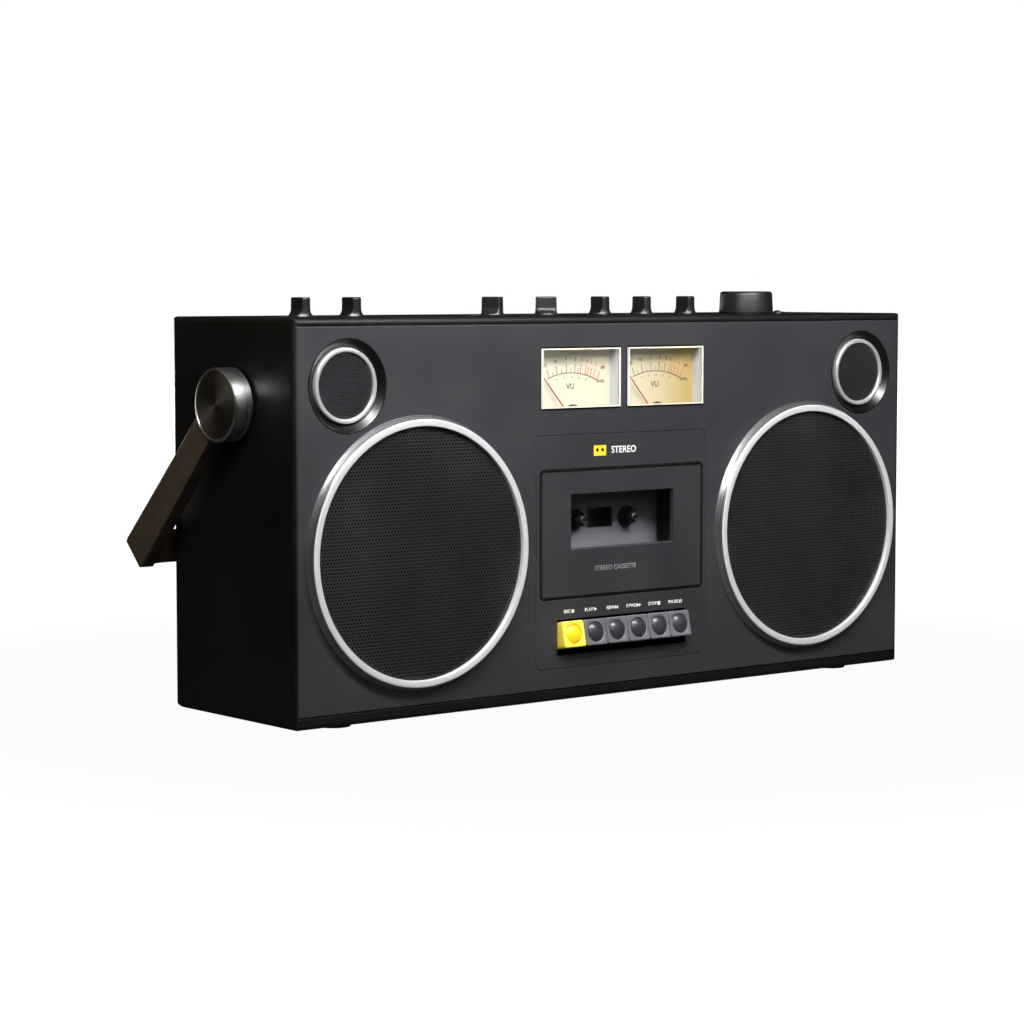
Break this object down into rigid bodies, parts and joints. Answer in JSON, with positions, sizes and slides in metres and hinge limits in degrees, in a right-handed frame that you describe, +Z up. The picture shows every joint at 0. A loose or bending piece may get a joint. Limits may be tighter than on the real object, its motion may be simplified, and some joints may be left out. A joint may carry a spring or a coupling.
{
  "type": "portable stereo cassette player",
  "caption": "Portable stereo cassette player with round grilles, level meters, tape door, piano keys, top knobs and swinging handle.",
  "frame": {"origin": "under the middle of the whole box, on the plane of the feet", "axes": "+X to the right of the front, +Y from front to back, +Z up"},
  "size_m": [0.522, 0.1686, 0.2525],
  "materials": {
    "cabinet_black": "fine satin moulding",
    "front_anthracite": "satin lacquered sheet",
    "deck_anthracite": "satin",
    "smoked_window": "polished smoked acrylic",
    "clear_cover": "polished clear acrylic",
    "dial_cream": "printed dial",
    "needle_red": "lacquered",
    "ring_aluminium": "spun satin",
    "disc_aluminium": "turned, brushed",
    "arm_anodised": "anodised dark bronze",
    "grip_black": "satin",
    "grille_black": "perforated sheet, powder coated",
    "trim_black": "satin",
    "knob_black": "satin",
    "record_yellow": "semi-gloss",
    "key_grey": "satin",
    "foot_rubber": "moulded",
    "cone_paper": "pressed paper pulp",
    "steel": "plated",
    "pulley_brass": "turned",
    "mechanism_black": "moulded",
    "circuit_board": "solder mask"
  },
  "bodies": {
    "cabinet": {"cabinet_shell": "cabinet_black", "front_panel": "front_anthracite", "rear_cover": "cabinet_black", "rear_cover_screws": "steel", "feet": "foot_rubber", "battery_tray": "mechanism_black", "battery_contacts": "steel", "socket_panel": "cabinet_black", "woofer_trims": "ring_aluminium", "woofer_grilles": "grille_black", "woofer_baskets": "steel", "woofer_magnets": "steel", "woofer_surrounds": "foot_rubber", "speaker_screws": "steel", "tweeter_bezels": "trim_black", "tweeter_rings": "ring_aluminium", "tweeter_grilles": "grille_black", "tweeter_drivers": "steel", "meter_cases": "dial_cream", "meter_covers": "clear_cover", "deck_fascia": "deck_anthracite", "deck_chassis": "steel", "drive_belt": "foot_rubber", "deck_motor": "steel", "key_shaft": "steel", "control_board": "circuit_board", "main_board": "circuit_board", "pivot_studs": "steel"},
    "battery_lid": {"battery_cover": "cabinet_black"},
    "left_cone": {"woofer_cone_left": "cone_paper"},
    "right_cone": {"woofer_cone_right": "cone_paper"},
    "left_needle": {"meter_needle_left": "needle_red"},
    "right_needle": {"meter_needle_right": "needle_red"},
    "door": {"cassette_door": "deck_anthracite", "door_window": "smoked_window", "cassette_holder": "mechanism_black"},
    "supply_reel": {"supply_spindle": "mechanism_black"},
    "takeup_reel": {"takeup_spindle": "mechanism_black"},
    "flywheel": {"capstan_flywheel": "steel"},
    "pulley": {"motor_pulley": "pulley_brass"},
    "bridge": {"head_bridge": "steel", "tape_heads": "steel"},
    "roller": {"pinch_roller": "foot_rubber"},
    "key_record": {"record_key": "record_yellow"},
    "key_play": {"play_key": "key_grey"},
    "key_rewind": {"rewind_key": "key_grey"},
    "key_forward": {"forward_key": "key_grey"},
    "key_stop": {"stop_key": "key_grey"},
    "key_pause": {"pause_key": "key_grey"},
    "knob_power": {"power_knob": "knob_black"},
    "knob_source": {"source_knob": "knob_black"},
    "knob_bass": {"bass_knob": "knob_black"},
    "knob_treble": {"treble_knob": "knob_black"},
    "knob_balance": {"balance_knob": "knob_black"},
    "knob_tape": {"tape_knob": "knob_black"},
    "knob_mic": {"mic_knob": "knob_black"},
    "knob_volume": {"volume_knob": "knob_black"},
    "handle": {"handle_arms": "arm_anodised", "handle_grip": "grip_black", "handle_discs": "disc_aluminium"}
  },
  "joints": [
    {"name": "handle_swing", "type": "hinge", "parent": "cabinet", "child": "handle", "pos_m": [0, -0.01736, 0.1875], "axis": [1, 0, 0], "range_deg": [0, 200]},
    {"name": "door_open", "type": "hinge", "parent": "cabinet", "child": "door", "pos_m": [0, -0.07587, 0.0668], "axis": [1, 0, 0], "range_deg": [0, 28]},
    {"name": "battery_lid_open", "type": "hinge", "parent": "cabinet", "child": "battery_lid", "pos_m": [0, 0.04813, 0.0169], "axis": [-1, 0, 0], "range_deg": [0, 85]},
    {"name": "key_record_press", "type": "hinge", "parent": "cabinet", "child": "key_record", "pos_m": [0, -0.04736, 0.043], "axis": [1, 0, 0], "range_deg": [0, 6.5], "stiffness_Nm_per_rad": 0.5, "springref_deg": -5.73},
    {"name": "key_play_press", "type": "hinge", "parent": "cabinet", "child": "key_play", "pos_m": [0, -0.04736, 0.043], "axis": [1, 0, 0], "range_deg": [0, 6.5], "stiffness_Nm_per_rad": 0.01, "springref_deg": -14.32},
    {"name": "key_rewind_press", "type": "hinge", "parent": "cabinet", "child": "key_rewind", "pos_m": [0, -0.04736, 0.043], "axis": [1, 0, 0], "range_deg": [0, 6.5], "stiffness_Nm_per_rad": 0.5, "springref_deg": -5.73},
    {"name": "key_forward_press", "type": "hinge", "parent": "cabinet", "child": "key_forward", "pos_m": [0, -0.04736, 0.043], "axis": [1, 0, 0], "range_deg": [0, 6.5], "stiffness_Nm_per_rad": 0.5, "springref_deg": -5.73},
    {"name": "key_stop_press", "type": "hinge", "parent": "cabinet", "child": "key_stop", "pos_m": [0, -0.04736, 0.043], "axis": [1, 0, 0], "range_deg": [0, 6.5], "stiffness_Nm_per_rad": 0.5, "springref_deg": -5.73},
    {"name": "key_pause_press", "type": "hinge", "parent": "cabinet", "child": "key_pause", "pos_m": [0, -0.04736, 0.043], "axis": [1, 0, 0], "range_deg": [0, 6.5], "stiffness_Nm_per_rad": 0.5, "springref_deg": -5.73},
    {"name": "bridge_lift", "type": "slide", "parent": "cabinet", "child": "bridge", "axis": [0, 0, 1], "range_m": [0, 0.005], "stiffness_N_per_m": 100, "springref_m": -0.01},
    {"name": "roller_spin", "type": "hinge", "parent": "bridge", "child": "roller", "pos_m": [0.0225, -0.06337, 0.067], "axis": [0, 1, 0], "continuous": true},
    {"name": "supply_reel_spin", "type": "hinge", "parent": "cabinet", "child": "supply_reel", "pos_m": [-0.02125, -0.05736, 0.1117], "axis": [0, 1, 0], "continuous": true},
    {"name": "takeup_reel_spin", "type": "hinge", "parent": "cabinet", "child": "takeup_reel", "pos_m": [0.02125, -0.05736, 0.1117], "axis": [0, 1, 0], "continuous": true},
    {"name": "flywheel_spin", "type": "hinge", "parent": "cabinet", "child": "flywheel", "pos_m": [0.0225, -0.04736, 0.0793], "axis": [0, 1, 0], "continuous": true},
    {"name": "pulley_spin", "type": "hinge", "parent": "cabinet", "child": "pulley", "pos_m": [-0.042, -0.03737, 0.0793], "axis": [0, 1, 0], "continuous": true},
    {"name": "left_needle_swing", "type": "hinge", "parent": "cabinet", "child": "left_needle", "pos_m": [-0.03465, -0.07136, 0.1725], "axis": [0, 1, 0], "range_deg": [0, 82], "stiffness_Nm_per_rad": 0.0002, "springref_deg": -11.46},
    {"name": "right_needle_swing", "type": "hinge", "parent": "cabinet", "child": "right_needle", "pos_m": [0.03465, -0.07136, 0.1725], "axis": [0, 1, 0], "range_deg": [0, 82], "stiffness_Nm_per_rad": 0.0002, "springref_deg": -11.46},
    {"name": "left_cone_travel", "type": "slide", "parent": "cabinet", "child": "left_cone", "axis": [0, -1, 0], "range_m": [-0.0025, 0.0025], "stiffness_N_per_m": 1500},
    {"name": "right_cone_travel", "type": "slide", "parent": "cabinet", "child": "right_cone", "axis": [0, -1, 0], "range_m": [-0.0025, 0.0025], "stiffness_N_per_m": 1500},
    {"name": "knob_power_turn", "type": "hinge", "parent": "cabinet", "child": "knob_power", "pos_m": [-0.2114, -0.03336, 0.238], "axis": [0, 0, 1], "range_deg": [0, 60]},
    {"name": "knob_source_turn", "type": "hinge", "parent": "cabinet", "child": "knob_source", "pos_m": [-0.1749, -0.03336, 0.238], "axis": [0, 0, 1], "range_deg": [-60, 60]},
    {"name": "knob_bass_turn", "type": "hinge", "parent": "cabinet", "child": "knob_bass", "pos_m": [-0.0685, -0.03336, 0.238], "axis": [0, 0, 1], "range_deg": [-177, 123]},
    {"name": "knob_treble_turn", "type": "hinge", "parent": "cabinet", "child": "knob_treble", "pos_m": [-0.0257, -0.03336, 0.238], "axis": [0, 0, 1], "range_deg": [-201, 99]},
    {"name": "knob_balance_turn", "type": "hinge", "parent": "cabinet", "child": "knob_balance", "pos_m": [0.0187, -0.03336, 0.238], "axis": [0, 0, 1], "range_deg": [-150, 150]},
    {"name": "knob_tape_turn", "type": "hinge", "parent": "cabinet", "child": "knob_tape", "pos_m": [0.0539, -0.03336, 0.238], "axis": [0, 0, 1], "range_deg": [-60, 0]},
    {"name": "knob_mic_turn", "type": "hinge", "parent": "cabinet", "child": "knob_mic", "pos_m": [0.0917, -0.03336, 0.238], "axis": [0, 0, 1], "range_deg": [-270, 30]},
    {"name": "knob_volume_turn", "type": "hinge", "parent": "cabinet", "child": "knob_volume", "pos_m": [0.1463, -0.03336, 0.238], "axis": [0, 0, 1], "range_deg": [-150, 150]}
  ],
  "couplings": [
    {"joint": "pulley_spin", "follows": "flywheel_spin", "ratio": 5},
    {"joint": "key_play_press", "follows": "bridge_lift", "rad_per_m": 22.68}
  ]
}
